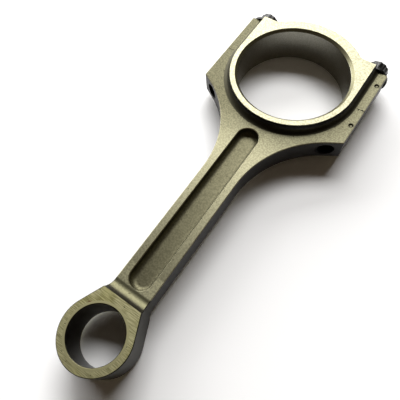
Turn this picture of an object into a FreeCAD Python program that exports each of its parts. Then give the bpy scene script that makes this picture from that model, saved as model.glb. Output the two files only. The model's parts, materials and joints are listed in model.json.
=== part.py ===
import FreeCAD, Part
import math
import os

# Connecting rod of a small car engine: a forged steel rod with a bolted bearing
# cap, two cap bolts with washers, and a bush pressed into the small end.
#
# Frame: the origin is the centre of the big-end bore, halfway through its
# thickness. +Y runs along the rod from the small end to the cap, +Z is up along
# both bore axes, and the rod lies flat.

V = FreeCAD.Vector

# ---------------------------------------------------------------------------
# Driving dimensions, in millimetres and degrees
# ---------------------------------------------------------------------------
CENTRE_DISTANCE = 140.0      # big-end bore centre to small-end bore centre

# Big end
BIG_BORE_R = 25.8            # housing bore for the bearing shells
BIG_BORE_CHAMFER = 1.2
THRUST_LAND = 2.6            # flat width of the thrust ring outside the chamfer
BOSS_THICKNESS = 19.2        # across the two thrust faces
BOSS_FOOT_R = 3.0            # concave foot between boss and plate
CROWN_WALL = 6.1             # cap wall over the bore
CROWN_FILLET_R = 2.0         # between crown and bolt seat
SHOULDER_DEPTH = 19.4        # parting face to the shoulder corner
SHOULDER_SLOPE = 30.0        # fall of the shoulder towards the shank
SHOULDER_BLEND_R = 45.0      # shoulder into shank
PARTING_NICK = 0.35          # V-groove along the parting line in the plate's sides

# Plate, shank and its two pockets
PLATE_THICKNESS = 11.0
POCKET_WIDTH = 10.0
RAIL_WIDTH = 3.4             # shank material beside the pocket
WEB_THICKNESS = 3.2          # left between the two pockets
POCKET_FLOOR_R = 2.5
POCKET_LAND_BIG = 1.6        # from the boss foot to the pocket
POCKET_LAND_SMALL = 1.0      # from the small end's step to the pocket

# Small end
PIN_BORE_R = 11.0            # bore of the bush
BUSH_WALL = 1.2
EYE_WALL = 2.4
EYE_THICKNESS = 16.8
EYE_FLARE = 24.0             # slope of the straight sides that run into the eye
EYE_BLEND_R = 12.0           # shank into the straight sides
STEP_LAND = 0.7              # from the eye's outer circle to the step
STEP_FILLET_R = 5.0          # step down to the shank
BUSH_CHAMFER = 0.3

# Cap bolts, M7 x 1, and their washers
THREAD_NOMINAL_R = 3.5
THREAD_PITCH = 1.0
THREAD_CLEARANCE = 0.05
BOLT_HOLE_CLEARANCE = 0.1    # bolt land in the cap's hole
BOLT_INNER_WALL = 0.6        # between the bolt hole and the big-end bore
BOLT_OUTER_WALL = 2.5        # between the bolt hole and the plate's side
WAIST_UNDERCUT = 0.175       # the waist is this much under the pitch radius
BOLT_LAND_LENGTH = 7.0       # full-diameter land under the head
BOLT_WAIST_END = 2.0         # the thread starts this far below the parting face
BOLT_RECESS = 1.2            # bolt tip above the shoulder corner
BOLT_TIP_CHAMFER = 0.7
HOLE_MOUTH_CHAMFER = 0.3     # at the parting face and the bolt seat
SHOULDER_CHAMFER = 0.4       # where the tapped hole leaves the shoulder
HEAD_POINTS = 12
HEAD_ACROSS_FLATS = 9.0
HEAD_HEIGHT = 6.2
HEAD_CHAMFER = 0.7
WASHER_R = 7.0
WASHER_THICKNESS = 1.6
WASHER_BORE_CLEARANCE = 0.1
WASHER_CROWN_GAP = 0.35      # washer rim to the crown's fillet
WASHER_CHAMFER = 0.25

# Bearing-shell tang notches, one in each half at the parting face
TANG_WIDTH = 4.0
TANG_DEPTH = 1.1
TANG_LENGTH = 5.5
TANG_WALL = 0.6              # between the notch and the bolt hole

# Ball-punched match marks on the plate's right flank
MARK_BALL_R = 1.6
MARK_DEPTH = 0.5
MARK_INSET = 1.7             # from the plate's side
MARK_CAP_Y = 15.7
MARK_ROD_Y = -9.6

EDGE_BREAK = 0.3

# Limits of the construction
FILLET_SHARE = 0.9           # the most of a wall or floor that a fillet may take
CUT_PAST = 1.0               # how far a cutter stands clear of the face it cuts
TOUCH = 1e-4                 # two places nearer than this are one place

# ---------------------------------------------------------------------------
# Sizes that follow from them
# ---------------------------------------------------------------------------
# Threads are plain cylinders at the pitch radius, which a metric thread has at
# 3/8 of its sharp height under the crests.
THREAD_PLAIN_R = THREAD_NOMINAL_R - 3 / 8 * math.sqrt(3) / 2 * THREAD_PITCH
BOLT_WAIST_R = THREAD_PLAIN_R - WAIST_UNDERCUT
BOLT_HOLE_R = THREAD_NOMINAL_R + BOLT_HOLE_CLEARANCE
TAPPED_HOLE_R = THREAD_PLAIN_R + THREAD_CLEARANCE
WASHER_BORE_R = THREAD_NOMINAL_R + WASHER_BORE_CLEARANCE
BOLT_X = BIG_BORE_R + BOLT_INNER_WALL + BOLT_HOLE_R
PLATE_HALF_WIDTH = BOLT_X + BOLT_HOLE_R + BOLT_OUTER_WALL
BOSS_R = BIG_BORE_R + BIG_BORE_CHAMFER + THRUST_LAND
CROWN_R = BIG_BORE_R + CROWN_WALL
# The seat is as high as leaves the washer clear of the fillet at the crown.
SEAT_FLAT_X = BOLT_X - WASHER_R - WASHER_CROWN_GAP
SEAT_Y = math.sqrt((CROWN_R + CROWN_FILLET_R) ** 2 - SEAT_FLAT_X ** 2) - CROWN_FILLET_R

BOSS_HALF = BOSS_THICKNESS / 2
PLATE_HALF = PLATE_THICKNESS / 2
EYE_HALF = EYE_THICKNESS / 2
FOOT_R = min(BOSS_FOOT_R, BOSS_HALF - PLATE_HALF - EDGE_BREAK, PLATE_HALF_WIDTH - BOSS_R - EDGE_BREAK)

BUSH_R = PIN_BORE_R + BUSH_WALL
EYE_R = BUSH_R + EYE_WALL
SHANK_HALF_WIDTH = POCKET_WIDTH / 2 + RAIL_WIDTH
STEP_Y = EYE_R + STEP_LAND - CENTRE_DISTANCE
STEP_RISE = EYE_HALF - PLATE_HALF
STEP_RUN = math.sqrt(STEP_RISE * (2 * STEP_FILLET_R - STEP_RISE))
STEP_FOOT_Y = STEP_Y + STEP_RUN

POCKET_END_R = POCKET_WIDTH / 2
POCKET_TOP_Y = -(BOSS_R + FOOT_R + POCKET_LAND_BIG + POCKET_END_R)
POCKET_BOTTOM_Y = STEP_FOOT_Y + POCKET_LAND_SMALL + POCKET_END_R
POCKET_DEPTH = (PLATE_THICKNESS - WEB_THICKNESS) / 2

BOLT_HEAD_Y = SEAT_Y + WASHER_THICKNESS
HEAD_TIP_R = HEAD_ACROSS_FLATS / 2 / math.cos(2 * math.pi / HEAD_POINTS)
BOLT_TIP_Y = BOLT_RECESS - SHOULDER_DEPTH
MARK_X = PLATE_HALF_WIDTH - MARK_INSET
FAR = 2 * CENTRE_DISTANCE    # reaches past the whole rod


# ---------------------------------------------------------------------------
# Small helpers
# ---------------------------------------------------------------------------
def line(a, b):
    return Part.LineSegment(V(*a), V(*b)).toShape()


def arc(a, middle, b):
    return Part.Arc(V(*a), V(*middle), V(*b)).toShape()


def around(centre, radius, degrees):
    """The point of a circle in the XY plane at an angle from +X."""
    angle = math.radians(degrees)
    return (centre[0] + radius * math.cos(angle), centre[1] + radius * math.sin(angle), 0)


def both_sides(edges):
    """The edges and their mirror image across the plane x = 0."""
    return edges + [edge.mirror(V(0, 0, 0), V(1, 0, 0)) for edge in edges]


def mirrored_down(edges):
    """The edges and their mirror image across the plane z = 0."""
    return edges + [edge.mirror(V(0, 0, 0), V(0, 0, 1)) for edge in edges]


def outline_face(edges):
    return Part.Face(Part.Wire(Part.__sortEdges__(edges)))


def thicken(face, half):
    """Extrude a face in the XY plane to the same height on both sides."""
    lower = face.copy()
    lower.translate(V(0, 0, -half))
    return lower.extrude(V(0, 0, 2 * half))


def box(x0, x1, y0, y1, z0, z1):
    return Part.makeBox(x1 - x0, y1 - y0, z1 - z0, V(x0, y0, z0))


def upright(radius, half, x=0, y=0):
    """A cylinder along Z, the same height on both sides of z = 0."""
    return Part.makeCylinder(radius, 2 * half, V(x, y, -half))


def lengthwise(radius, x, y0, y1):
    """A cylinder along Y."""
    return Part.makeCylinder(radius, y1 - y0, V(x, y0, 0), V(0, 1, 0))


def lengthwise_cone(x, y0, r0, y1, r1):
    """A cone along Y with the radius r0 at y0 and r1 at y1."""
    return Part.makeCone(r0, r1, y1 - y0, V(x, y0, 0), V(0, 1, 0))


def chamfer_where(solid, size, wanted):
    """Chamfer the edges for which wanted(edge) is true."""
    return solid.makeChamfer(size, [edge for edge in solid.Edges if wanted(edge)])


def lies_at_height(edge, half):
    """True for an edge that lies in one of the planes z = +half and z = -half."""
    low = edge.BoundBox.ZMin
    high = edge.BoundBox.ZMax
    return abs(high - low) < TOUCH and abs(abs(low) - half) < TOUCH


def one_solid(shape):
    """The cleaned shape, which has to be a single closed solid."""
    shape = shape.removeSplitter()
    if len(shape.Solids) != 1:
        raise ValueError("expected one solid, found %d" % len(shape.Solids))
    return shape.Solids[0]


# ---------------------------------------------------------------------------
# Features shared by the rod and its cap
# ---------------------------------------------------------------------------
def big_bore_cutter():
    """The big-end bore with a conical chamfer at each thrust face."""
    mouth = BIG_BORE_R + BIG_BORE_CHAMFER
    cutter = upright(BIG_BORE_R, FAR)
    low = Part.makeCone(mouth, BIG_BORE_R, BIG_BORE_CHAMFER, V(0, 0, -BOSS_HALF))
    high = Part.makeCone(BIG_BORE_R, mouth, BIG_BORE_CHAMFER, V(0, 0, BOSS_HALF - BIG_BORE_CHAMFER))
    return cutter.fuse([low, high])


def boss_profile_edges():
    """Half section of the boss: full height inside, a concave foot, then the plate.

    It runs outwards along +X and upwards along +Z. The rod revolves it, and the
    cap extrudes it.
    """
    foot_x = BOSS_R + FOOT_R
    foot_z = PLATE_HALF + FOOT_R
    middle_x = foot_x - FOOT_R * math.cos(math.pi / 4)
    middle_z = foot_z - FOOT_R * math.sin(math.pi / 4)
    return [
        line((0, 0, BOSS_HALF), (BOSS_R - EDGE_BREAK, 0, BOSS_HALF)),
        line((BOSS_R - EDGE_BREAK, 0, BOSS_HALF), (BOSS_R, 0, BOSS_HALF - EDGE_BREAK)),
        line((BOSS_R, 0, BOSS_HALF - EDGE_BREAK), (BOSS_R, 0, foot_z)),
        arc((BOSS_R, 0, foot_z), (middle_x, 0, middle_z), (foot_x, 0, PLATE_HALF)),
    ]


def match_mark_cutter(y):
    """The ball of a punched match mark on the plate's top face."""
    return Part.makeSphere(MARK_BALL_R, V(MARK_X, y, PLATE_HALF + MARK_BALL_R - MARK_DEPTH))


def tang_cutter():
    """The notch that takes a shell's tang, on both sides of the parting face."""
    inner_z = BOLT_HOLE_R + TANG_WALL
    outer_z = inner_z + TANG_WIDTH
    return box(0, BIG_BORE_R + TANG_DEPTH, -TANG_LENGTH, TANG_LENGTH, -outer_z, -inner_z)


def nick_cutter(side):
    """A V-groove along the parting line in the plate's side face."""
    width = PLATE_HALF_WIDTH
    a = (side * width, -PARTING_NICK, 0)
    b = (side * (width - PARTING_NICK), 0, 0)
    c = (side * width, PARTING_NICK, 0)
    return thicken(outline_face([line(a, b), line(b, c), line(c, a)]), FAR)


# ---------------------------------------------------------------------------
# Rod body
# ---------------------------------------------------------------------------
def rod_outline():
    """Plan view of the rod from the parting face to the far side of the eye."""
    width = PLATE_HALF_WIDTH
    shank = SHANK_HALF_WIDTH
    slope = math.radians(SHOULDER_SLOPE)

    # The sloped shoulder meets the shank's side at one point, and an arc
    # replaces that corner as far as the slope is long enough.
    turn = math.pi / 2 - slope
    slope_length = (width - shank) / math.cos(slope)
    blend_r = min(SHOULDER_BLEND_R, slope_length / math.tan(turn / 2) * FILLET_SHARE)
    tangent = blend_r * math.tan(turn / 2)
    meet_y = -SHOULDER_DEPTH - (width - shank) * math.tan(slope)
    slope_end = (shank + tangent * math.cos(slope), meet_y + tangent * math.sin(slope), 0)
    blend_centre = (shank + blend_r, meet_y - tangent)
    blend_middle = around(blend_centre, blend_r, 180 - math.degrees(turn) / 2)
    blend_end = (shank, meet_y - tangent, 0)

    # Straight sides run tangent into the eye's circle.
    eye_centre = (0, -CENTRE_DISTANCE)
    eye_start = around(eye_centre, EYE_R, EYE_FLARE)
    flare = math.radians(EYE_FLARE)
    flare_y = eye_start[1] + (eye_start[0] - shank) / math.tan(flare)
    flare_tangent = EYE_BLEND_R * math.tan(flare / 2)
    flare_start = (shank, flare_y + flare_tangent, 0)
    flare_centre = (shank + EYE_BLEND_R, flare_y + flare_tangent)
    flare_middle = around(flare_centre, EYE_BLEND_R, 180 + EYE_FLARE / 2)
    flare_end = around(flare_centre, EYE_BLEND_R, 180 + EYE_FLARE)

    right = [
        line((0, 0, 0), (width, 0, 0)),
        line((width, 0, 0), (width, -SHOULDER_DEPTH, 0)),
        line((width, -SHOULDER_DEPTH, 0), slope_end),
        arc(slope_end, blend_middle, blend_end),
        line(blend_end, flare_start),
        arc(flare_start, flare_middle, flare_end),
        line(flare_end, eye_start),
        arc(eye_start, around(eye_centre, EYE_R, -45), (0, -CENTRE_DISTANCE - EYE_R, 0)),
    ]
    return outline_face(both_sides(right))


def rod_side_profile():
    """Side view of the rod: the eye, the filleted step and the plate."""
    # The fillet's arc starts level at the plate and rises to the step's edge.
    centre_z = PLATE_HALF + STEP_FILLET_R
    half_sweep = math.asin(STEP_RUN / STEP_FILLET_R) / 2
    middle_y = STEP_FOOT_Y - STEP_FILLET_R * math.sin(half_sweep)
    middle_z = centre_z - STEP_FILLET_R * math.cos(half_sweep)
    upper = [
        line((0, -FAR, EYE_HALF), (0, STEP_Y, EYE_HALF)),
        arc((0, STEP_Y, EYE_HALF), (0, middle_y, middle_z), (0, STEP_FOOT_Y, PLATE_HALF)),
        line((0, STEP_FOOT_Y, PLATE_HALF), (0, 0, PLATE_HALF)),
    ]
    ends = [
        line((0, -FAR, -EYE_HALF), (0, -FAR, EYE_HALF)),
        line((0, 0, -PLATE_HALF), (0, 0, PLATE_HALF)),
    ]
    face = outline_face(mirrored_down(upper) + ends)
    face.translate(V(-FAR, 0, 0))
    return face.extrude(V(2 * FAR, 0, 0))


def rod_boss():
    """The half-round boss round the bore, with its concave foot."""
    foot_x = BOSS_R + FOOT_R
    upper = boss_profile_edges()
    ends = [
        line((0, 0, -BOSS_HALF), (0, 0, BOSS_HALF)),
        line((foot_x, 0, -PLATE_HALF), (foot_x, 0, PLATE_HALF)),
    ]
    section = outline_face(mirrored_down(upper) + ends)
    return section.revolve(V(0, 0, 0), V(0, 0, 1), -180)


def pocket_cutter(side):
    """The long pocket in one face, with round ends and a filleted floor."""
    floor_z = PLATE_HALF - POCKET_DEPTH
    middle = box(-POCKET_END_R, POCKET_END_R, POCKET_BOTTOM_Y, POCKET_TOP_Y, floor_z, PLATE_HALF)
    ends = [
        Part.makeCylinder(POCKET_END_R, POCKET_DEPTH, V(0, y, floor_z))
        for y in (POCKET_BOTTOM_Y, POCKET_TOP_Y)
    ]
    cutter = middle.fuse(ends).removeSplitter()
    floor_edges = [edge for edge in cutter.Edges if edge.BoundBox.ZMax < floor_z + TOUCH]
    floor_r = min(POCKET_FLOOR_R, POCKET_END_R * FILLET_SHARE, POCKET_DEPTH * FILLET_SHARE)
    cutter = cutter.makeFillet(floor_r, floor_edges)
    # A bevel breaks the rim, and the rest of the cutter stands clear of the face.
    rim = thicken(slot_face(POCKET_END_R + EDGE_BREAK), FAR)
    rim = rim.common(box(-FAR, FAR, -FAR, FAR, PLATE_HALF, PLATE_HALF + CUT_PAST))
    cutter = cutter.fuse([rim, rim_bevel()])
    if side < 0:
        cutter = cutter.mirror(V(0, 0, 0), V(0, 0, 1))
    return cutter


def slot_face(end_r):
    """Plan view of the pocket with the given end radius."""
    right = [
        arc(
            (0, POCKET_TOP_Y + end_r, 0),
            around((0, POCKET_TOP_Y), end_r, 45),
            (end_r, POCKET_TOP_Y, 0),
        ),
        line((end_r, POCKET_TOP_Y, 0), (end_r, POCKET_BOTTOM_Y, 0)),
        arc(
            (end_r, POCKET_BOTTOM_Y, 0),
            around((0, POCKET_BOTTOM_Y), end_r, -45),
            (0, POCKET_BOTTOM_Y - end_r, 0),
        ),
    ]
    return outline_face(both_sides(right))


def rim_bevel():
    """The bevel that breaks the pocket's rim."""
    narrow = slot_face(POCKET_END_R).OuterWire
    wide = slot_face(POCKET_END_R + EDGE_BREAK).OuterWire
    narrow.translate(V(0, 0, PLATE_HALF - EDGE_BREAK))
    wide.translate(V(0, 0, PLATE_HALF))
    return Part.makeLoft([narrow, wide], True, True)


def tapped_hole_cutter(x):
    """A through hole for the bolt's thread, bevelled at the parting face."""
    mouth = TAPPED_HOLE_R + HOLE_MOUTH_CHAMFER
    hole = lengthwise(TAPPED_HOLE_R, x, -CENTRE_DISTANCE / 2, 0)
    return hole.fuse(lengthwise_cone(x, -HOLE_MOUTH_CHAMFER, TAPPED_HOLE_R, 0, mouth))


def rod_body():
    """The forged rod: half of the big end, the shank and the eye."""
    body = thicken(rod_outline(), EYE_HALF).common(rod_side_profile())

    def outline_edge(edge):
        bounds = edge.BoundBox
        on_plate = lies_at_height(edge, PLATE_HALF) and bounds.YMax > STEP_FOOT_Y + TOUCH
        on_eye = lies_at_height(edge, EYE_HALF)
        across = bounds.XMin < -TOUCH and bounds.XMax > TOUCH
        return (on_plate or on_eye) and not across

    body = chamfer_where(body, EDGE_BREAK, outline_edge)
    body = body.fuse(rod_boss())
    cutters = [big_bore_cutter(), tang_cutter(), match_mark_cutter(MARK_ROD_Y)]
    cutters.append(upright(BUSH_R, FAR, 0, -CENTRE_DISTANCE))
    for side in (-1, 1):
        cutters.append(pocket_cutter(side))
        cutters.append(tapped_hole_cutter(side * BOLT_X))
        cutters.append(nick_cutter(side))
    body = one_solid(body.cut(cutters))

    # The tapped holes leave the sloped shoulder through bevelled mouths.
    def shoulder_mouth(edge):
        bounds = edge.BoundBox
        beside_bolt = abs(abs(bounds.Center.x) - BOLT_X) < TAPPED_HOLE_R
        in_hole = max(-bounds.ZMin, bounds.ZMax) < TAPPED_HOLE_R + TOUCH
        sloped = bounds.XLength > TOUCH and bounds.YLength > TOUCH
        return beside_bolt and in_hole and sloped and bounds.YMax < BOLT_TIP_Y

    return one_solid(chamfer_where(body, SHOULDER_CHAMFER, shoulder_mouth))


# ---------------------------------------------------------------------------
# Bearing cap
# ---------------------------------------------------------------------------
def cap_outline():
    """Plan view of the cap: two bolt seats with the crown between them."""
    width = PLATE_HALF_WIDTH
    fillet_centre = (SEAT_FLAT_X, SEAT_Y + CROWN_FILLET_R)
    crown_angle = math.degrees(math.atan2(fillet_centre[1], fillet_centre[0]))
    crown_start = around((0, 0), CROWN_R, crown_angle)
    fillet_middle = around(fillet_centre, CROWN_FILLET_R, (180 + crown_angle + 270) / 2)
    right = [
        line((0, 0, 0), (width, 0, 0)),
        line((width, 0, 0), (width, SEAT_Y, 0)),
        line((width, SEAT_Y, 0), (SEAT_FLAT_X, SEAT_Y, 0)),
        arc((SEAT_FLAT_X, SEAT_Y, 0), fillet_middle, crown_start),
        arc(crown_start, around((0, 0), CROWN_R, (crown_angle + 90) / 2), (0, CROWN_R, 0)),
    ]
    return outline_face(both_sides(right))


def cap_end_profile():
    """End view of the cap: thick over the bore, thin at the two flanks."""
    foot_x = BOSS_R + FOOT_R
    flank = [line((foot_x, 0, PLATE_HALF), (PLATE_HALF_WIDTH, 0, PLATE_HALF))]
    upper = both_sides(boss_profile_edges() + flank)
    ends = both_sides([line((PLATE_HALF_WIDTH, 0, -PLATE_HALF), (PLATE_HALF_WIDTH, 0, PLATE_HALF))])
    face = outline_face(mirrored_down(upper) + ends)
    return face.extrude(V(0, FAR, 0))


def bolt_hole_cutter(x):
    """A clearance hole through the cap, bevelled at both ends."""
    mouth = BOLT_HOLE_R + HOLE_MOUTH_CHAMFER
    top = SEAT_Y - HOLE_MOUTH_CHAMFER
    return lengthwise(BOLT_HOLE_R, x, -CUT_PAST, SEAT_Y + CUT_PAST).fuse([
        lengthwise_cone(x, 0, mouth, HOLE_MOUTH_CHAMFER, BOLT_HOLE_R),
        lengthwise_cone(x, top, BOLT_HOLE_R, SEAT_Y, mouth),
    ])


def bearing_cap():
    """The other half of the big end."""
    cap = thicken(cap_outline(), BOSS_HALF).common(cap_end_profile())

    def outline_edge(edge):
        bounds = edge.BoundBox
        on_crown = lies_at_height(edge, BOSS_HALF) and bounds.YMin > SEAT_Y - TOUCH
        at_side = min(abs(bounds.XMin), abs(bounds.XMax)) > PLATE_HALF_WIDTH - TOUCH
        return on_crown or (at_side and lies_at_height(edge, PLATE_HALF))

    cap = chamfer_where(cap, EDGE_BREAK, outline_edge)
    cutters = [big_bore_cutter(), tang_cutter(), match_mark_cutter(MARK_CAP_Y)]
    for side in (-1, 1):
        cutters.append(bolt_hole_cutter(side * BOLT_X))
        cutters.append(nick_cutter(side))
    return one_solid(cap.cut(cutters))


# ---------------------------------------------------------------------------
# Bolts, washers and bush
# ---------------------------------------------------------------------------
def twelve_point_face():
    """A face in the XZ plane: two hexagons, one turned by half a hexagon's step."""
    half_step = math.pi / HEAD_POINTS
    valley_r = HEAD_ACROSS_FLATS / 2 / math.cos(half_step)
    points = []
    for corner in range(2 * HEAD_POINTS):
        radius = valley_r if corner % 2 else HEAD_TIP_R
        angle = corner * half_step
        points.append(V(radius * math.cos(angle), 0, radius * math.sin(angle)))
    return Part.Face(Part.makePolygon(points + points[:1]))


def cap_bolt(x):
    """A twelve-point bolt with a land, a waist and a plain thread."""
    head = twelve_point_face().extrude(V(0, HEAD_HEIGHT, 0))
    head.translate(V(x, BOLT_HEAD_Y, 0))
    head_top = BOLT_HEAD_Y + HEAD_HEIGHT
    chamfer_y = head_top - HEAD_CHAMFER
    envelope = lengthwise(HEAD_TIP_R, x, BOLT_HEAD_Y, chamfer_y)
    envelope = envelope.fuse(lengthwise_cone(x, chamfer_y, HEAD_TIP_R, head_top, HEAD_TIP_R - HEAD_CHAMFER))
    head = head.common(envelope)

    land_y = BOLT_HEAD_Y - BOLT_LAND_LENGTH
    thread_y = BOLT_TIP_Y + BOLT_TIP_CHAMFER
    land_slope = THREAD_NOMINAL_R - BOLT_WAIST_R
    thread_slope = THREAD_PLAIN_R - BOLT_WAIST_R
    shank = [
        lengthwise(THREAD_NOMINAL_R, x, land_y, BOLT_HEAD_Y),
        lengthwise_cone(x, land_y - land_slope, BOLT_WAIST_R, land_y, THREAD_NOMINAL_R),
        lengthwise(BOLT_WAIST_R, x, -BOLT_WAIST_END, land_y),
        lengthwise_cone(
            x, -BOLT_WAIST_END - thread_slope, THREAD_PLAIN_R, -BOLT_WAIST_END, BOLT_WAIST_R
        ),
        lengthwise(THREAD_PLAIN_R, x, thread_y, -BOLT_WAIST_END - thread_slope),
        lengthwise_cone(x, BOLT_TIP_Y, THREAD_PLAIN_R - BOLT_TIP_CHAMFER, thread_y, THREAD_PLAIN_R),
    ]
    return one_solid(head.fuse(shank))


def bolt_washer(x):
    """A hardened plain washer under a bolt head."""
    disc = lengthwise(WASHER_R, x, SEAT_Y, SEAT_Y + WASHER_THICKNESS)
    disc = chamfer_where(disc, WASHER_CHAMFER, lambda edge: edge.BoundBox.YLength < TOUCH)
    return one_solid(disc.cut(lengthwise(WASHER_BORE_R, x, 0, FAR)))


def small_end_bush():
    """The pressed bush, flush with the eye's faces."""
    y = -CENTRE_DISTANCE
    mouth = PIN_BORE_R + BUSH_CHAMFER
    bush = upright(BUSH_R, EYE_HALF, 0, y)
    bore = upright(PIN_BORE_R, FAR, 0, y)
    low = Part.makeCone(mouth, PIN_BORE_R, BUSH_CHAMFER, V(0, y, -EYE_HALF))
    high = Part.makeCone(PIN_BORE_R, mouth, BUSH_CHAMFER, V(0, y, EYE_HALF - BUSH_CHAMFER))
    return one_solid(bush.cut([bore, low, high]))


# ---------------------------------------------------------------------------
# Build and write one file for each piece
# ---------------------------------------------------------------------------
def main():
    pieces = {
        "rod_body": rod_body(),
        "bearing_cap": bearing_cap(),
        "small_end_bush": small_end_bush(),
    }
    for name, side in (("left", -1), ("right", 1)):
        pieces["cap_bolt_" + name] = cap_bolt(side * BOLT_X)
        pieces["bolt_washer_" + name] = bolt_washer(side * BOLT_X)

    os.makedirs("parts", exist_ok=True)
    for node, shape in pieces.items():
        if not shape.isValid():
            raise ValueError(node + " is not a valid solid")
        shape.exportStep("parts/" + node + ".step")
        print("%-20s %9.1f mm3, %3d faces" % (node, shape.Volume, len(shape.Faces)))
    print("bolt x %.2f, plate half width %.2f, seat y %.2f" % (BOLT_X, PLATE_HALF_WIDTH, SEAT_Y))


main()
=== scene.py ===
import json
import logging
import math
from dataclasses import dataclass, field
from enum import Enum
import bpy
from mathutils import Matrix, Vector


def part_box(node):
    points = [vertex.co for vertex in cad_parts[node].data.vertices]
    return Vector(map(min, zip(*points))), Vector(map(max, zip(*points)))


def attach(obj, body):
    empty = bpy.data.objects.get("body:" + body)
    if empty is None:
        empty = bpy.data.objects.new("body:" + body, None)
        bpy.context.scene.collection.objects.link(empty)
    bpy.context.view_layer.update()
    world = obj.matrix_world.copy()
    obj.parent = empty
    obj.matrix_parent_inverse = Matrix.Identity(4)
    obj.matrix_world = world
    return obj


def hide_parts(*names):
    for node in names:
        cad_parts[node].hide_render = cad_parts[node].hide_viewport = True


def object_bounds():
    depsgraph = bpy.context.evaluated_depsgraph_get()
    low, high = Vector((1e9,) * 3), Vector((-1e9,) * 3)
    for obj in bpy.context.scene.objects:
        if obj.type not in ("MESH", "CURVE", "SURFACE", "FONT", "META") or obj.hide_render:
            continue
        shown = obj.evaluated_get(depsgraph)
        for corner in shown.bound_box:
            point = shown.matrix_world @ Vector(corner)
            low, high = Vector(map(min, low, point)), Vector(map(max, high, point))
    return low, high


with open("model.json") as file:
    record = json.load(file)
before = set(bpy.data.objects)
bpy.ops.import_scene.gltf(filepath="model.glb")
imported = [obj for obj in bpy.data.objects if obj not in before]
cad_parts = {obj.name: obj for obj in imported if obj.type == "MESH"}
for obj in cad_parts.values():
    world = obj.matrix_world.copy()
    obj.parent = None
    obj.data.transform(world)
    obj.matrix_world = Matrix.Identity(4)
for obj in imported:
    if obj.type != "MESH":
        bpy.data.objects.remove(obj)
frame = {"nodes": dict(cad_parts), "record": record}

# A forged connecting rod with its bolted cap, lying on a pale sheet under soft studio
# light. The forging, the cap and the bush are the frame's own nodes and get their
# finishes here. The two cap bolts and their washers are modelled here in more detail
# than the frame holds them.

from types import MappingProxyType
from typing import Mapping, Sequence, Union

import bpy
from mathutils import Vector

MM = 0.001
HAIR = 0.01 * MM  # how far off a height may lie and still count as being on it
FACING = 0.9  # least share of a face's normal that counts as facing along an axis
NOISE_DETAIL = 3.0  # octaves of every noise pattern
CAD_BOX = [list(corner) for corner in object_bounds()]

log = logging.getLogger("connecting_rod")

Socket = bpy.types.NodeSocket
Value = Union[float, Sequence[float], Socket]
Spot = tuple[float, float, float]  # x, y and radius in mm
NOTHING: Mapping[str, Value] = MappingProxyType({})


class Side(Enum):
    """The two sides of the rod, seen from above with the cap at the top."""

    LEFT = "left"
    RIGHT = "right"


# ---------------------------------------------------------------------------
# Colour and node helpers
# ---------------------------------------------------------------------------
def linear(hex_colour: str) -> tuple[float, float, float, float]:
    """Turn an sRGB hex colour into linear values.

    Args:
        hex_colour: six hex digits, such as "8F8C74".

    Returns:
        Linear red, green and blue, and an alpha of 1.
    """
    values = []
    for start in (0, 2, 4):
        share = int(hex_colour[start:start + 2], 16) / 255
        values.append(share / 12.92 if share <= 0.04045 else ((share + 0.055) / 1.055) ** 2.4)
    return (values[0], values[1], values[2], 1.0)


def add_node(
    tree: bpy.types.NodeTree,
    kind: str,
    settings: Mapping[str, object] = NOTHING,
    inputs: Mapping[Union[str, int], Value] = NOTHING,
) -> bpy.types.Node:
    """Add one node with its settings, and set or link its inputs.

    Args:
        tree: the node tree to add to.
        kind: the node's type name without the "ShaderNode" in front.
        settings: the node's own properties.
        inputs: for each input, a value to set or another node's output to link.

    Returns:
        The new node.
    """
    node = tree.nodes.new("ShaderNode" + kind)
    for name, value in settings.items():
        setattr(node, name, value)
    for name, value in inputs.items():
        if isinstance(value, bpy.types.NodeSocket):
            tree.links.new(value, node.inputs[name])
        else:
            node.inputs[name].default_value = value
    return node


def new_material(name: str) -> tuple[bpy.types.Material, bpy.types.NodeTree]:
    """Start an empty node material.

    Args:
        name: the finish's common name.

    Returns:
        The material and its emptied node tree.
    """
    material = bpy.data.materials.new(name)
    material.use_nodes = True
    material.node_tree.nodes.clear()
    return material, material.node_tree


# ---------------------------------------------------------------------------
# Sizes
# ---------------------------------------------------------------------------
@dataclass(frozen=True)
class RodSizes:
    """The forging's main sizes in metres: read from the frame, or set here if it has none."""

    bore_r: float
    boss_half: float
    eye_half: float
    bolt_x: float
    bolt_hole_r: float = 3.6 * MM
    plate_half: float = 5.5 * MM
    chamfer: float = 1.2 * MM
    step_y: float = -124.7 * MM
    pocket_half_width: float = 5.3 * MM
    pocket_top: float = -34.2 * MM
    pocket_bottom: float = -119.5 * MM
    rail_bottom: float = -110.9 * MM
    mark_x: float = 34.4 * MM
    mark_cap_y: float = 15.7 * MM
    mark_rod_y: float = -9.6 * MM
    mark_r: float = 1.25 * MM

    @classmethod
    def from_frame(cls) -> "RodSizes":
        """Read what the record's mounts and the nodes' boxes tell.

        Returns:
            The sizes.
        """
        mounts = {mount["name"]: mount for mount in frame["record"]["mounts"]}
        _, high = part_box("small_end_bush")
        bolt_low, bolt_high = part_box("cap_bolt_right")
        return cls(
            bore_r=mounts["big_end_bore"]["dims"]["r_mm"] * MM,
            boss_half=mounts["thrust_face_top"]["pos_m"][2],
            eye_half=high[2],
            bolt_x=(bolt_low[0] + bolt_high[0]) / 2,
        )


# ---------------------------------------------------------------------------
# Finishes
# ---------------------------------------------------------------------------
@dataclass(frozen=True)
class Area:
    """One area of a surface: its colour, its roughness and how far it shows the grain."""

    mask: str
    colour: str
    roughness: float
    grain: float = 0.25


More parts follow.
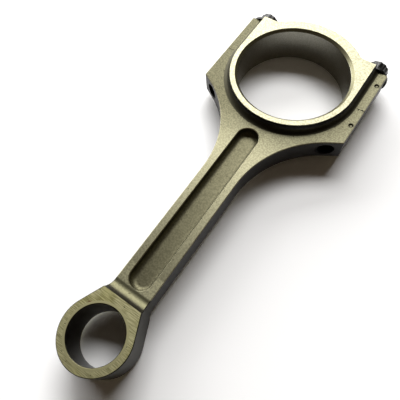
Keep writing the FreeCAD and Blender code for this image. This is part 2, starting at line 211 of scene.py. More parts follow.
@dataclass(frozen=True)
class ForgedSteel:
    """Shot-peened forging steel with ground, turned, linished and as-forged areas.

    Peening leaves a dull olive grey of fine dents. The thrust faces are ground and
    answer a broad light with near white. The eye's faces are linished across the rod.
    The side walls keep the dark forging skin.
    """

    sizes: RodSizes
    peened: str = "7A7761"
    peened_light: str = "939075"
    peened_roughness: tuple[float, float] = (0.62, 0.72)
    rusted_metallic: float = 0.2
    bump_strength: float = 0.4
    contrast: tuple[float, float] = (0.36, 0.64)
    grain_mm: float = 0.7
    cloud_mm: float = 9.0
    stroke_mm: float = 0.3
    stroke_length_mm: float = 4.5
    soil_mm: float = 1.3
    ragged_mm: float = 0.8
    ragged_reach_mm: float = 0.5
    dent_depth_mm: float = 0.04
    blend_mm: float = 0.03
    mark_centre_share: float = 0.45
    spot_core_share: float = 0.8
    # Later areas lie over earlier ones.
    areas: tuple[Area, ...] = (
        # The peened skin: painted darker to the left as shade, smoother along the rails and in the
        # pocket, darker in the pocket and just before the step, its edges rubbed bright by wear and
        # painted lighter as a highlight.
        Area("painted_shade_left", "67644F", 0.66, 0.3),
        Area("rail", "76735D", 0.44, 0.2),
        Area("pocket", "625F4B", 0.52, 0.2),
        Area("worn_edge_and_highlight", "B4B092", 0.38, 0.2),
        Area("near_step", "54523F", 0.42, 0.1),
        # The eye's linished faces: paler and more olive, with softer stains.
        Area("eye", "96926F", 0.6, 0.45),
        Area("stain", "8B875F", 0.62, 0.45),
        # Dark places: painted shade at the foot of the boss, soil, the forging skin, and painted
        # shade on the step's slope.
        Area("painted_foot_shade", "3C3A2E", 0.5, 0.1),
        Area("speck", "3E3B2C", 0.6, 0.0),
        Area("wall", "3C3B3A", 0.5, 0.15),
        Area("painted_step_shade", "2C2A22", 0.45, 0.1),
        # Machined faces: ground thrust faces, turned chamfers, the honed bore.
        Area("thrust", "8F8C76", 0.5, 0.3),
        Area("chamfer", "7C7960", 0.4, 0.1),
        Area("bore", "908E83", 0.25, 0.12),
        # Small marks: painted shade in the bolt holes, punched dents painted dark as shade with a
        # painted highlight in their centre, rust and pits.
        Area("painted_hole_shade", "141414", 0.45, 0.0),
        Area("painted_dent_shade", "24221A", 0.5, 0.0),
        Area("painted_dent_highlight", "6A6754", 0.5, 0.0),
        Area("rust", "5E3F1C", 0.7, 0.3),
        Area("pit", "1C1A16", 0.7, 0.0),
    )
    rust_spots_mm: tuple[Spot, ...] = (
        (-9.4, -132.4, 0.8),
        (-11.3, -138.5, 0.5),
        (8.4, -89.2, 0.5),
    )
    pits_mm: tuple[Spot, ...] = (
        (-29.4, -13.5, 0.35),
        (-25.8, -23.2, 0.3),
        (-28.9, -12.2, 0.2),
        (33.4, -0.4, 0.25),
        (35.0, 0.2, 0.3),
        (31.6, 0.5, 0.2),
    )

    def measures(
        self, tree: bpy.types.NodeTree, place: Socket, plan: Socket, normal: Socket
    ) -> dict[str, Socket]:
        """Measure each point of the surface in the rod's frame.

        Args:
            tree: the material's node tree.
            place: the point.
            plan: the point with its height taken off.
            normal: the surface's direction.

        Returns:
            "x" and "z" without their signs, "y", "side" (x with its sign), "up" (1 on level
            faces, 0 on walls), and the radii from the big bore's and the bolts' axes.
        """
        axes = add_node(tree, "SeparateXYZ", {}, {0: place}).outputs
        facing = add_node(tree, "SeparateXYZ", {}, {0: normal}).outputs
        measures = {"y": axes["Y"], "side": axes["X"]}
        for name, socket in (("x", axes["X"]), ("z", axes["Z"]), ("up", facing["Z"])):
            unsigned = add_node(tree, "Math", {"operation": "ABSOLUTE"}, {0: socket})
            measures[name] = unsigned.outputs[0]
        from_bolt = add_node(
            tree, "Math", {"operation": "SUBTRACT"}, {0: measures["x"], 1: self.sizes.bolt_x}
        ).outputs[0]
        beside_bolt = add_node(tree, "CombineXYZ", {}, {0: from_bolt, 2: axes["Z"]}).outputs[0]
        for name, across in (("bore_r", plan), ("bolt_r", beside_bolt)):
            length = add_node(tree, "VectorMath", {"operation": "LENGTH"}, {0: across})
            measures[name] = length.outputs["Value"]
        return measures

    def step_masks(
        self, tree: bpy.types.NodeTree, measures: Mapping[str, Socket]
    ) -> dict[str, Socket]:
        """Turn measures into masks that are 0 at the first bound and 1 at the second.

        Machined edges blend over a hair's width. The wider bounds are worn or soiled
        borders, and the soft borders of painted shade and painted highlight, where one surface
        fades into the next.

        Args:
            tree: the material's node tree.
            measures: the surface's measures.

        Returns:
            The masks by name.
        """
        s = self.sizes
        thin = self.blend_mm * MM
        chamfer_r = s.bore_r + s.chamfer
        steps = {
            "at_boss_face": ("z", s.boss_half - 2 * thin, s.boss_half - thin),
            "near_boss_face": ("z", s.boss_half - s.chamfer - thin, s.boss_half - s.chamfer),
            "above_plate": ("z", s.plate_half + thin, s.plate_half + 2 * thin),
            "below_plate": ("z", s.plate_half - thin, s.plate_half - 4 * thin),
            "near_plate_face": ("z", s.plate_half - 0.5 * MM, s.plate_half - 0.4 * MM),
            "at_eye_face": ("z", s.eye_half - 2 * thin, s.eye_half - thin),
            "at_eye": ("y", s.step_y + thin, s.step_y),
            "near_step": ("y", s.step_y + 6 * MM, s.step_y + 5 * MM),
            "big_end_only": ("y", s.step_y + 20 * MM, s.step_y + 21 * MM),
            "below_pocket_top": ("y", s.pocket_top, s.pocket_top - thin),
            "along_shank": ("y", s.pocket_top + 6 * MM, s.pocket_top - 20 * MM),
            "above_pocket_bottom": ("y", s.pocket_bottom, s.pocket_bottom + thin),
            "above_rail_bottom": ("y", s.rail_bottom, s.rail_bottom + 0.3 * MM),
            "beside_pocket": ("x", s.pocket_half_width, s.pocket_half_width + thin),
            "in_pocket_x": ("x", s.pocket_half_width + thin, s.pocket_half_width),
            # Painted shade on the left side, fading in from x = 8 mm to x = -26 mm.
            "painted_shade_left": ("side", 8 * MM, -26 * MM),
            "bore": ("bore_r", s.bore_r + 2 * thin, s.bore_r + thin),
            "in_chamfer_r": ("bore_r", chamfer_r + thin, chamfer_r),
            # Inside the bolt holes, painted dark as shade.
            "painted_hole_shade": ("bolt_r", s.bolt_hole_r + 2 * thin, s.bolt_hole_r + thin),
            "steep": ("up", 0.45, 0.3),
            "not_steep": ("up", 0.5, 0.6),
            "tilted": ("up", 0.88, 0.72),
            # Slightly tilted faces: worn edges that are also painted lighter as a highlight.
            "worn_edge_and_highlight": ("up", 0.92, 0.84),
            "flat": ("up", 0.9, 0.97),
        }
        masks = {}
        for name, (measure, low, high) in steps.items():
            masks[name] = add_node(
                tree,
                "MapRange",
                {"interpolation_type": "SMOOTHSTEP"},
                {"Value": measures[measure], "From Min": low, "From Max": high},
            ).outputs[0]
        return masks

    def spot_masks(
        self, tree: bpy.types.NodeTree, place: Socket, plan: Socket
    ) -> dict[str, Socket]:
        """Mask discs round points of the plan view, ragged where nature made them.

        Args:
            tree: the material's node tree.
            place: the point.
            plan: the point with its height taken off.

        Returns:
            The masks "rust" and "pit", the punched dents' painted shade and their centres' painted
            highlight.
        """
        s = self.sizes
        ragged = add_node(
            tree,
            "TexNoise",
            {},
            {"Vector": place, "Scale": 1 / (self.ragged_mm * MM), "Detail": NOISE_DETAIL},
        ).outputs["Fac"]
        reach = self.ragged_reach_mm * MM
        ragged = add_node(
            tree, "MapRange", {}, {"Value": ragged, "To Min": -reach, "To Max": reach}
        ).outputs[0]
        # The punched dents are painted dark as shade, their centres lighter as a painted highlight.
        dents = [(s.mark_x / MM, y / MM, s.mark_r / MM) for y in (s.mark_cap_y, s.mark_rod_y)]
        centres = [(x, y, radius * self.mark_centre_share) for x, y, radius in dents]
        masks = {}
        for name, spots, is_ragged in (
            ("rust", self.rust_spots_mm, True),
            ("pit", self.pits_mm, True),
            ("painted_dent_shade", dents, False),
            ("painted_dent_highlight", centres, False),
        ):
            for x, y, radius in spots:
                distance = add_node(
                    tree,
                    "VectorMath",
                    {"operation": "DISTANCE"},
                    {0: plan, 1: (x * MM, y * MM, 0)},
                ).outputs["Value"]
                if is_ragged:
                    distance = add_node(tree, "Math", {}, {0: distance, 1: ragged}).outputs[0]
                outside = (radius + self.blend_mm) * MM
                inside = radius * self.spot_core_share * MM
                spot = add_node(
                    tree,
                    "MapRange",
                    {"interpolation_type": "SMOOTHSTEP"},
                    {"Value": distance, "From Min": outside, "From Max": inside},
                ).outputs[0]
                if name in masks:
                    spot = add_node(
                        tree, "Math", {"operation": "MAXIMUM"}, {0: masks[name], 1: spot}
                    ).outputs[0]
                masks[name] = spot
        return masks

    def patterns(self, tree: bpy.types.NodeTree, place: Socket) -> dict[str, Socket]:
        """Make the peening dents, the soil, the blast's cloudiness and the linisher's strokes.

        Args:
            tree: the material's node tree.
            place: the point.

        Returns:
            The patterns "grain", "soil", "clouds" and "strokes", each from 0 to 1.
        """
        patterns = {}
        for name, size, stretch in (
            ("grain", self.grain_mm, 1.0),
            ("soil", self.soil_mm, 1.0),
            ("clouds", self.cloud_mm, 1.0),
            ("strokes", self.stroke_mm, self.stroke_mm / self.stroke_length_mm),
        ):
            stretched = add_node(
                tree, "Mapping", {}, {"Vector": place, "Scale": (stretch, 1.0, 1.0)}
            ).outputs[0]
            patterns[name] = add_node(
                tree,
                "TexNoise",
                {},
                {"Vector": stretched, "Scale": 1 / (size * MM), "Detail": NOISE_DETAIL},
            ).outputs["Fac"]
        return patterns

    def combine(
        self,
        tree: bpy.types.NodeTree,
        masks: dict[str, Socket],
        patterns: Mapping[str, Socket],
    ) -> None:
        """Combine masks into the areas' own, in place.

        Args:
            tree: the material's node tree.
            masks: the masks so far, which gain or change members.
            patterns: the patterns that stains and specks are cut from.
        """
        for name, source, low, high in (
            ("stained", "clouds", 0.48, 0.66),
            ("speck", "soil", 0.68, 0.74),
        ):
            masks[name] = add_node(
                tree,
                "MapRange",
                {"interpolation_type": "SMOOTHSTEP"},
                {"Value": patterns[source], "From Min": low, "From Max": high},
            ).outputs[0]
        for name, first, second in (
            ("thrust", "at_boss_face", "flat"),
            ("chamfer", "near_boss_face", "in_chamfer_r"),
            ("eye", "at_eye", "at_eye_face"),
            # Edges rubbed bright by wear and painted lighter as a highlight.
            ("worn_edge_and_highlight", "worn_edge_and_highlight", "not_steep"),
            ("worn_edge_and_highlight", "worn_edge_and_highlight", "near_plate_face"),
            # The boss's foot, painted dark as shade.
            ("painted_foot_shade", "above_plate", "big_end_only"),
            ("rail", "beside_pocket", "above_rail_bottom"),
            ("rail", "rail", "along_shank"),
            ("pocket", "in_pocket_x", "below_plate"),
            ("pocket", "pocket", "below_pocket_top"),
            ("pocket", "pocket", "above_pocket_bottom"),
            # The step's slope, painted dark as shade.
            ("painted_step_shade", "near_step", "tilted"),
            ("stain", "eye", "stained"),
            ("rust", "rust", "flat"),
            ("pit", "pit", "flat"),
        ):
            masks[name] = add_node(
                tree, "Math", {"operation": "MULTIPLY"}, {0: masks[first], 1: masks[second]}
            ).outputs[0]
        masks["wall"] = add_node(
            tree,
            "Math",
            {"operation": "SUBTRACT", "use_clamp": True},
            {0: masks["steep"], 1: masks["pocket"]},
        ).outputs[0]

    def build(self) -> bpy.types.Material:
        """Build the material.

        Returns:
            The finished node material.
        """
        material, tree = new_material("forged_steel_shot_peened")
        coordinates = add_node(tree, "TexCoord").outputs
        place = coordinates["Object"]
        plan = add_node(
            tree, "VectorMath", {"operation": "MULTIPLY"}, {0: place, 1: (1, 1, 0)}
        ).outputs[0]
        masks = self.step_masks(tree, self.measures(tree, place, plan, coordinates["Normal"]))
        masks.update(self.spot_masks(tree, place, plan))
        patterns = self.patterns(tree, place)
        self.combine(tree, masks, patterns)

        pattern = add_node(
            tree,
            "Mix",
            {"data_type": "FLOAT"},
            {0: masks["eye"], 2: patterns["grain"], 3: patterns["strokes"]},
        ).outputs[0]
        low, high = self.contrast
        contrast = add_node(
            tree,
            "MapRange",
            {"interpolation_type": "SMOOTHSTEP"},
            {"Value": pattern, "From Min": low, "From Max": high},
        ).outputs[0]
        base = add_node(
            tree,
            "Mix",
            {"data_type": "RGBA"},
            {0: contrast, 6: linear(self.peened), 7: linear(self.peened_light)},
        ).outputs[2]
        low, high = self.peened_roughness
        rough = add_node(
            tree, "MapRange", {}, {"Value": patterns["clouds"], "To Min": low, "To Max": high}
        ).outputs[0]
        for area in self.areas:
            mask = masks[area.mask]
            shade = add_node(
                tree,
                "Mix",
                {"data_type": "RGBA", "blend_type": "SOFT_LIGHT"},
                {0: area.grain, 6: linear(area.colour), 7: contrast},
            ).outputs[2]
            base = add_node(
                tree, "Mix", {"data_type": "RGBA"}, {0: mask, 6: base, 7: shade}
            ).outputs[2]
            rough = add_node(
                tree, "Mix", {"data_type": "FLOAT"}, {0: mask, 2: rough, 3: area.roughness}
            ).outputs[0]
        metal = add_node(
            tree,
            "MapRange",
            {},
            {"Value": masks["rust"], "To Min": 1.0, "To Max": self.rusted_metallic},
        ).outputs[0]
        bump = add_node(
            tree,
            "Bump",
            {},
            {
                "Height": pattern,
                "Distance": self.dent_depth_mm * MM,
                "Strength": self.bump_strength,
            },
        ).outputs[0]
        shader = add_node(
            tree,
            "BsdfPrincipled",
            {},
            {"Base Color": base, "Metallic": metal, "Roughness": rough, "Normal": bump},
        )
        add_node(tree, "OutputMaterial", {}, {"Surface": shader.outputs[0]})
        return material


@dataclass(frozen=True)
class BlackPhosphate:
    """Black phosphated bolt steel: a thin dull coat, rubbed brighter in specks."""

    coat: str = "1E1E1F"
    worn: str = "55544F"
    worn_from: float = 0.45
    worn_to: float = 0.8
    grain_mm: float = 0.3
    grain_depth_mm: float = 0.02
    bump_strength: float = 0.5
    roughness: float = 0.34

    def build(self) -> bpy.types.Material:
        """Build the material.

        Returns:
            The finished node material.
        """
        material, tree = new_material("black_phosphated_steel")
        place = add_node(tree, "TexCoord").outputs["Object"]
        grain = add_node(
            tree,
            "TexNoise",
            {},
            {"Vector": place, "Scale": 1 / (self.grain_mm * MM), "Detail": NOISE_DETAIL},
        ).outputs["Fac"]
        worn = add_node(
            tree,
            "MapRange",
            {},
            {"Value": grain, "From Min": self.worn_from, "From Max": self.worn_to},
        ).outputs[0]
        base = add_node(
            tree,
            "Mix",
            {"data_type": "RGBA"},
            {0: worn, 6: linear(self.coat), 7: linear(self.worn)},
        ).outputs[2]
        bump = add_node(
            tree,
            "Bump",
            {},
            {
                "Height": grain,
                "Distance": self.grain_depth_mm * MM,
                "Strength": self.bump_strength,
            },
        ).outputs[0]
        shader = add_node(
            tree,
            "BsdfPrincipled",
            {},
            {"Base Color": base, "Metallic": 1.0, "Roughness": self.roughness, "Normal": bump},
        )
        add_node(tree, "OutputMaterial", {}, {"Surface": shader.outputs[0]})
        return material


@dataclass(frozen=True)
class BearingBronze:
    """Bronze of a pressed bush, faced off level with the eye, its bore painted dark as shade."""

    sizes: RodSizes
    faced: str = "96926F"
    # The bore's painted shade.
    bore_painted_shade: str = "2E2C26"
    faced_roughness: float = 0.6
    bored_roughness: float = 0.35
    stroke_mm: float = 0.3
    stroke_length_mm: float = 4.5
    stroke_depth_mm: float = 0.02
    bump_strength: float = 0.4

    def build(self) -> bpy.types.Material:
        """Build the material.

        Returns:
            The finished node material.
        """
        material, tree = new_material("bearing_bronze_painted_bore_shade")
        place = add_node(tree, "TexCoord").outputs["Object"]
        axes = add_node(tree, "SeparateXYZ", {}, {0: place}).outputs
        height = add_node(tree, "Math", {"operation": "ABSOLUTE"}, {0: axes["Z"]}).outputs[0]
        top = self.sizes.eye_half
        face = add_node(
            tree,
            "MapRange",
            {},
            {"Value": height, "From Min": top - 0.1 * MM, "From Max": top - 0.05 * MM},
        ).outputs[0]
        stretch = self.stroke_mm / self.stroke_length_mm
        stretched = add_node(
            tree, "Mapping", {}, {"Vector": place, "Scale": (stretch, 1.0, 1.0)}
        ).outputs[0]
        strokes = add_node(
            tree,
            "TexNoise",
            {},
            {"Vector": stretched, "Scale": 1 / (self.stroke_mm * MM), "Detail": NOISE_DETAIL},
        ).outputs["Fac"]
        # The bore is painted dark as shade; the faced face keeps its own colour.
        base = add_node(
            tree,
            "Mix",
            {"data_type": "RGBA"},
            {0: face, 6: linear(self.bore_painted_shade), 7: linear(self.faced)},
        ).outputs[2]
        rough = add_node(
            tree,
            "MapRange",
            {},
            {"Value": face, "To Min": self.bored_roughness, "To Max": self.faced_roughness},
        ).outputs[0]
        bump = add_node(
            tree,
            "Bump",
            {},
            {
                "Height": strokes,
                "Distance": self.stroke_depth_mm * MM,
                "Strength": self.bump_strength,
            },
        ).outputs[0]
        shader = add_node(
            tree,
            "BsdfPrincipled",
            {},
            {"Base Color": base, "Metallic": 1.0, "Roughness": rough, "Normal": bump},
        )
        add_node(tree, "OutputMaterial", {}, {"Surface": shader.outputs[0]})
        return material


@dataclass(frozen=True)
class PaleSheet:
    """A smooth matt pale sheet, the studio's floor."""

    colour: str = "F8F8F8"
    roughness: float = 0.9

    def build(self) -> bpy.types.Material:
        """Build the material.

        Returns:
            The finished node material.
        """
        material, tree = new_material("pale_sheet")
        shader = add_node(
            tree,
            "BsdfPrincipled",
            {},
            {"Base Color": linear(self.colour), "Roughness": self.roughness},
        )
        add_node(tree, "OutputMaterial", {}, {"Surface": shader.outputs[0]})
        return material


# ---------------------------------------------------------------------------
# Bolts and washers
# ---------------------------------------------------------------------------
def deselect_all() -> None:
    """Leave object mode's selection empty."""
    bpy.ops.object.select_all(action="DESELECT")


def select_faces(piece: bpy.types.Object, low: float, high: float, way: int) -> None:
    """In edit mode, select only the faces that lie between two heights and face one way.

    Args:
        piece: the object being edited.
        low: the lowest local height of the faces' centres.
        high: the highest local height of the faces' centres.
        way: 1 for faces that point up, -1 for faces that point down.
    """
    bpy.ops.object.mode_set(mode="OBJECT")
    mesh = piece.data
    for part in (*mesh.vertices, *mesh.edges):
        part.select = False
    for face in mesh.polygons:
        face.select = low <= face.center.z <= high and face.normal.z * way >= FACING
    bpy.ops.object.mode_set(mode="EDIT")


def turn_profile(profile: Sequence[tuple[float, float]], radius: float, height: float) -> None:
    """Grow the selected round end face through the points of a turned profile.

    Args:
        profile: for each step, the new height and radius in metres.
        radius: the end face's radius.
        height: the end face's local height.
    """
    for next_height, next_radius in profile:
        bpy.ops.mesh.extrude_region_move(
            TRANSFORM_OT_translate={"value": (0, 0, next_height - height), "orient_type": "LOCAL"}
        )
        share = next_radius / radius
        bpy.ops.transform.resize(value=(share, share, 1), orient_type="LOCAL")
        radius, height = next_radius, next_height


def round_edges(
    piece: bpy.types.Object, name: str, width: float, segments: int, sharper_than: float
) -> None:
    """Bevel a piece's sharp edges.

    Args:
        piece: the object, active and in object mode.
        name: the modifier's name.
        width: the bevel's width in metres.
        segments: how many strips make up the bevel.
        sharper_than: the least angle of the edges, in degrees.
    """
    bevel = piece.modifiers.new(name, "BEVEL")
    bevel.width = width
    bevel.segments = segments
    bevel.limit_method = "ANGLE"
    bevel.angle_limit = math.radians(sharper_than)
    bevel.use_clamp_overlap = True
    bpy.ops.object.modifier_apply(modifier=bevel.name)


def finish_piece(piece: bpy.types.Object, name: str, smooth_below: float) -> None:
    """Give a modelled piece its name, its place in its mesh and its shading.

    Args:
        piece: the object, in object mode.
        name: the piece's name.
        smooth_below: edges flatter than this, in degrees, are shaded smooth.
    """
    deselect_all()
    piece.select_set(True)
    bpy.context.view_layer.objects.active = piece
    bpy.ops.object.transform_apply(location=True, rotation=True, scale=True)
    bpy.ops.object.shade_smooth_by_angle(angle=math.radians(smooth_below))
    piece.name = name
    piece.data.name = name


@dataclass
class CapBolt:
    """A twelve-point cap bolt, turned about its own axis with the head's seat at height 0."""

    side: Side
    head_across_flats: float = 9.0 * MM
    collar_r: float = 5.1 * MM
    collar_height: float = 0.8 * MM
    collar_step: float = 0.1 * MM
    head_chamfer: float = 0.8 * MM
    recess_r: float = 2.6 * MM
    recess_depth: float = 0.7 * MM
    recess_floor_share: float = 0.8
    land_r: float = 3.5 * MM
    land_length: float = 7.0 * MM
    waist_r: float = 3.0 * MM
    crest_r: float = 3.17 * MM
    root_r: float = 2.72 * MM
    pitch: float = 1.0 * MM
    waist_end_y: float = -2.0 * MM
    tip_chamfer: float = 0.7 * MM
    broken_edge: float = 0.12 * MM
    smooth_below: float = 32.0
    corners: int = 48
    points: int = 12

    def measure(self) -> tuple[float, float, float, float]:
        """Read the bolt's place from the frame.

        Returns:
            The axis's x, the seat's y, the head's height and the tip's depth below the seat.
        """
        low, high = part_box("cap_bolt_" + self.side.value)
        _, washer_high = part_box("bolt_washer_" + self.side.value)
        seat = washer_high[1]
        return (low[0] + high[0]) / 2, seat, high[1] - seat, seat - low[1]

    def head(self, x: float, seat: float, height: float) -> bpy.types.Object:
        """Model the head, the land and the waist from one cylinder.

        Args:
            x: the bolt axis's place across the rod.
            seat: where the head sits along the rod.
            height: the head's height.

        Returns:
            The object, in object mode.
        """
        bpy.ops.mesh.primitive_cylinder_add(
            vertices=self.corners,
            radius=self.collar_r,
            depth=self.collar_height,
            location=(x, seat + self.collar_height / 2, 0),
            rotation=(-math.pi / 2, 0, 0),
        )
        piece = bpy.context.object
        top = self.collar_height / 2
        rise = height - self.collar_height
        bpy.ops.object.mode_set(mode="EDIT")

        # The collar's top takes a slightly smaller step, which then grows to the full height.
        select_faces(piece, top - HAIR, top + HAIR, 1)
        inner = self.collar_r - self.collar_step
        turn_profile([(top, inner), (top + rise - self.head_chamfer, inner)], self.collar_r, top)
        self.flute(piece, top - HAIR, inner)
        select_faces(piece, top + HAIR, top + height, 1)
        bevel_share = 1 - self.head_chamfer / self.collar_r
        turn_profile([(top + rise, inner * bevel_share)], inner, top + rise - self.head_chamfer)
        floor_r = self.recess_r * self.recess_floor_share
        turn_profile(
            [(top + rise, self.recess_r), (top + rise - self.recess_depth, floor_r)],
            inner * bevel_share,
            top + rise,
        )

        bottom = -top
        select_faces(piece, bottom - HAIR, bottom + HAIR, -1)
        land_end = bottom - self.land_length
        slope = self.land_r - self.waist_r
        waist_end = bottom + self.waist_end_y - seat
        turn_profile(
            [
                (bottom, self.land_r),
                (land_end, self.land_r),
                (land_end - slope, self.waist_r),
                (waist_end, self.waist_r),
            ],
            self.collar_r,
            bottom,
        )
        bpy.ops.object.mode_set(mode="OBJECT")
        return piece

    def flute(self, piece: bpy.types.Object, above: float, radius: float) -> None:
        """Draw the head's round side in to two crossed hexagons, one class of corners a turn.

        Args:
            piece: the object being edited.
            above: the corners' least local height.
            radius: the corners' radius so far.
        """
        flat = self.head_across_flats / 2
        point_angle = 2 * math.pi / self.points
        corner_angle = 2 * math.pi / self.corners
        corners_to_notch = self.corners // self.points // 2
        for off_point in range(corners_to_notch + 1):
            wanted = min(flat / math.cos(point_angle - off_point * corner_angle), radius)
            bpy.ops.object.mode_set(mode="OBJECT")
            for part in (*piece.data.edges, *piece.data.polygons):
                part.select = False
            for corner in piece.data.vertices:
                x, y, z = corner.co
                place = round(math.atan2(y, x) / corner_angle) % (2 * corners_to_notch)
                from_point = min(place, 2 * corners_to_notch - place)
                on_head = z > above and math.hypot(x, y) < radius + HAIR / 2
                corner.select = on_head and from_point == off_point
            bpy.ops.object.mode_set(mode="EDIT")
            share = wanted / radius
            bpy.ops.transform.resize(value=(share, share, 1), orient_type="LOCAL")

    def thread(self, x: float, seat: float, depth: float) -> bpy.types.Object:
        """Model the threaded end: one tooth's profile, screwed round the axis and cut square.

        Args:
            x: the bolt axis's place across the rod.
            seat: where the head sits along the rod.
            depth: the tip's depth below the seat.

        Returns:
            The object, in object mode.
        """
        start = self.waist_end_y - seat + self.pitch / 4
        end = self.tip_chamfer - depth
        # One turn more at each end, for the two cuts to take off.
        turns = math.ceil((start - end) / self.pitch) + 2
        bpy.ops.mesh.primitive_plane_add(
            size=self.pitch, location=(x, seat, 0), rotation=(-math.pi / 2, 0, 0)
        )
        piece = bpy.context.object
        bpy.ops.object.mode_set(mode="EDIT")
        bpy.ops.mesh.select_all(action="SELECT")
        bpy.ops.mesh.merge(type="CENTER")
        # Half a step off the cuts, so that neither cut runs through a row of corners.
        below = end - self.pitch * (1 + 0.5 / self.corners)
        bpy.ops.transform.translate(value=(self.root_r, 0, below), orient_type="LOCAL")
        # One tooth: a flank up, the crest, a flank down, the root.
        rise = self.crest_r - self.root_r
        flat = self.pitch / 8
        flank = self.pitch / 2 - flat
        for run, out in ((flank, rise), (flat, 0), (flank, -rise), (flat, 0)):
            bpy.ops.mesh.extrude_region_move(
                TRANSFORM_OT_translate={"value": (out, 0, run), "orient_type": "LOCAL"}
            )
        bpy.ops.object.mode_set(mode="OBJECT")
        screw = piece.modifiers.new("helix", "SCREW")
        screw.axis = "Z"
        screw.screw_offset = self.pitch
        screw.iterations = turns
        screw.steps = self.corners
        screw.render_steps = self.corners
        screw.use_merge_vertices = True
        bpy.ops.object.modifier_apply(modifier=screw.name)

        bpy.ops.object.mode_set(mode="EDIT")
        bpy.ops.mesh.select_all(action="SELECT")
        bpy.ops.mesh.remove_doubles(threshold=HAIR / 2)
        for height, outer, inner in ((start, True, False), (end, False, True)):
            bpy.ops.mesh.select_all(action="SELECT")
            bpy.ops.mesh.bisect(
                plane_co=(x, seat + height, 0),
                plane_no=(0, 1, 0),
                clear_outer=outer,
                clear_inner=inner,
            )
        bpy.ops.mesh.select_all(action="SELECT")
        bpy.ops.mesh.remove_doubles(threshold=HAIR / 5)
        bpy.ops.mesh.select_all(action="SELECT")
        bpy.ops.mesh.fill_holes(sides=0)
        bpy.ops.mesh.select_all(action="SELECT")
        bpy.ops.mesh.normals_make_consistent(inside=False)
        select_faces(piece, end - HAIR, end + HAIR, -1)
        turn_profile([(-depth, self.crest_r - self.tip_chamfer)], self.crest_r, end)
        bpy.ops.object.mode_set(mode="OBJECT")
        return piece

    def build(self, material: bpy.types.Material) -> bpy.types.Object:
        """Model and dress the bolt, and hang it in the frame.

        Args:
            material: the bolt's finish.

        Returns:
            The finished bolt.
        """
        x, seat, height, depth = self.measure()
        deselect_all()
        thread = self.thread(x, seat, depth)
        deselect_all()
        piece = self.head(x, seat, height)
        deselect_all()
        thread.select_set(True)
        piece.select_set(True)
        bpy.context.view_layer.objects.active = piece
        bpy.ops.object.join()
        round_edges(piece, "broken_edges", self.broken_edge, segments=2, sharper_than=50)
        piece.data.materials.append(material)
        finish_piece(piece, "twelve_point_bolt_" + self.side.value, self.smooth_below)
        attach(piece, "bolt_" + self.side.value)
        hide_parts("cap_bolt_" + self.side.value)
        log.info("%s: %d faces", piece.name, len(piece.data.polygons))
        return piece


@dataclass
class BoltWasher:
    """A hardened washer with rounded rims under a bolt's head."""

    side: Side
    bore_r: float = 3.6 * MM
    rim: float = 0.25 * MM
    smooth_below: float = 35.0
    corners: int = 96

    def build(self, material: bpy.types.Material) -> bpy.types.Object:
        """Model and dress the washer, and hang it in the frame.

        Args:
            material: the washer's finish.

        Returns:
            The finished washer.
        """
        low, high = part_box("bolt_washer_" + self.side.value)
        radius = (high[0] - low[0]) / 2
        thickness = high[1] - low[1]
        deselect_all()
        bpy.ops.mesh.primitive_cylinder_add(
            vertices=self.corners,
            radius=radius,
            depth=thickness,
            location=((low[0] + high[0]) / 2, (low[1] + high[1]) / 2, 0),
            rotation=(-math.pi / 2, 0, 0),
        )
        piece = bpy.context.object
        bpy.ops.object.mode_set(mode="EDIT")
        for way in (1, -1):
            height = way * thickness / 2
            select_faces(piece, height - HAIR, height + HAIR, way)
            turn_profile([(height, self.bore_r)], radius, height)
        bpy.ops.object.mode_set(mode="OBJECT")
        for face in piece.data.polygons:
            face.select = len(face.vertices) == self.corners
        bpy.ops.object.mode_set(mode="EDIT")
        bpy.ops.mesh.bridge_edge_loops()
        bpy.ops.object.mode_set(mode="OBJECT")
        round_edges(piece, "rounded_rims", self.rim, segments=3, sharper_than=40)
        piece.data.materials.append(material)
        finish_piece(piece, "hardened_washer_" + self.side.value, self.smooth_below)
        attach(piece, "washer_" + self.side.value)
        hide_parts("bolt_washer_" + self.side.value)
        log.info("%s: %d faces", piece.name, len(piece.data.polygons))
        return piece


# ---------------------------------------------------------------------------
# Studio
# ---------------------------------------------------------------------------
@dataclass
class SoftBox:
    """A rectangular lamp that looks at one point of the object."""

    name: str
    azimuth: float
    elevation: float
    distance: float
    width: float
    height: float
    radiance: float
    colour: str = "FFFFFF"
    aim: tuple[float, float, float] = (0.0, -0.05, 0.0)

    def build(self) -> bpy.types.Object:
        """Place the lamp.

        Returns:
            The lamp's object.
        """
        around = math.radians(self.azimuth)
        up = math.radians(self.elevation)
        direction = Vector(
            (math.cos(around) * math.cos(up), math.sin(around) * math.cos(up), math.sin(up))
        )
        data = bpy.data.lights.new(self.name, "AREA")
        data.shape = "RECTANGLE"
        data.size = self.width
        data.size_y = self.height
        data.energy = self.radiance * math.pi * self.width * self.height
        data.color = linear(self.colour)[:3]
        lamp = bpy.data.objects.new(self.name, data)
        bpy.context.scene.collection.objects.link(lamp)
        lamp.location = Vector(self.aim) + direction * self.distance
        lamp.rotation_euler = direction.to_track_quat("Z", "Y").to_euler()
        return lamp


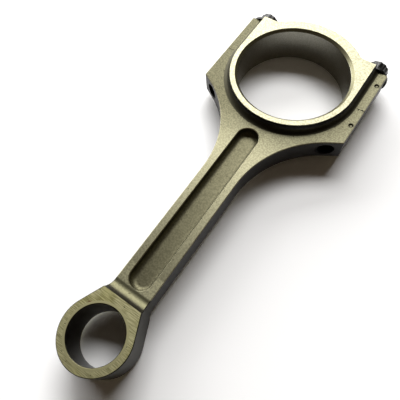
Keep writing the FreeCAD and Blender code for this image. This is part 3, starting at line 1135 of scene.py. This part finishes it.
@dataclass
class Studio:
    """The floor, the light and the camera."""

    floor_size: float = 3.0
    air: str = "96846F"
    air_strength: float = 0.2
    backdrop: str = "F2F1EF"
    camera_place: tuple[float, float, float] = (0.048729, -0.126498, 0.159908)
    camera_turn: tuple[float, float, float] = (24.389, 3.827, 35.158)
    lens_mm: float = 37.144
    sensor_mm: float = 36.0
    nearest: float = 0.01
    boxes: list[SoftBox] = field(
        default_factory=lambda: [
            # The key gives the upper faces their gloss and the part its shadows.
            SoftBox(
                "key_box",
                azimuth=112.0,
                elevation=51.0,
                distance=1.2,
                width=0.9,
                height=0.44,
                radiance=11.5,
            ),
            # The long low box lights the walls that face the cap's side and softens shadows.
            SoftBox(
                "low_box",
                azimuth=140.0,
                elevation=22.0,
                distance=1.4,
                width=2.2,
                height=0.7,
                radiance=8.0,
            ),
        ]
    )

    def build(self) -> None:
        """Lay the floor, hang the lights and set up the camera."""
        deselect_all()
        lowest = CAD_BOX[0][2]
        bpy.ops.mesh.primitive_plane_add(size=self.floor_size, location=(0, 0, lowest))
        floor = bpy.context.object
        floor.name = "pale_floor"
        bpy.ops.object.transform_apply(location=True, rotation=True, scale=True)
        floor.data.materials.append(PaleSheet().build())
        log.info("floor at %.2f mm", lowest / MM)

        # The metal sees a dim warm room; behind the floor the camera sees a pale wall.
        world = bpy.data.worlds.new("studio_air")
        world.use_nodes = True
        world.node_tree.nodes.clear()
        tree = world.node_tree
        air = add_node(
            tree, "Background", {}, {"Color": linear(self.air), "Strength": self.air_strength}
        )
        backdrop = add_node(tree, "Background", {}, {"Color": linear(self.backdrop)})
        seen = add_node(tree, "LightPath").outputs["Is Camera Ray"]
        both = add_node(
            tree, "MixShader", {}, {0: seen, 1: air.outputs[0], 2: backdrop.outputs[0]}
        )
        add_node(tree, "OutputWorld", {}, {"Surface": both.outputs[0]})
        bpy.context.scene.world = world
        for box in self.boxes:
            box.build()

        data = bpy.data.cameras.new("camera")
        data.lens = self.lens_mm
        data.sensor_width = self.sensor_mm
        data.clip_start = self.nearest
        camera = bpy.data.objects.new("camera", data)
        bpy.context.scene.collection.objects.link(camera)
        camera.location = self.camera_place
        camera.rotation_euler = [math.radians(angle) for angle in self.camera_turn]
        bpy.context.scene.camera = camera


def main() -> None:
    """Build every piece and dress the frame's nodes."""
    bpy.context.scene.view_settings.view_transform = "Standard"
    Studio().build()
    sizes = RodSizes.from_frame()
    steel = ForgedSteel(sizes).build()
    bronze = BearingBronze(sizes).build()
    black = BlackPhosphate().build()
    for node, material in (("rod_body", steel), ("bearing_cap", steel), ("small_end_bush", bronze)):
        frame["nodes"][node].data.materials.clear()
        frame["nodes"][node].data.materials.append(material)
        log.info("%s has %s", node, material.name)
    for side in Side:
        CapBolt(side).build(black)
        BoltWasher(side).build(black)


if __name__ == "__main__":
    logging.basicConfig(level=logging.INFO, format="%(message)s")
    main()
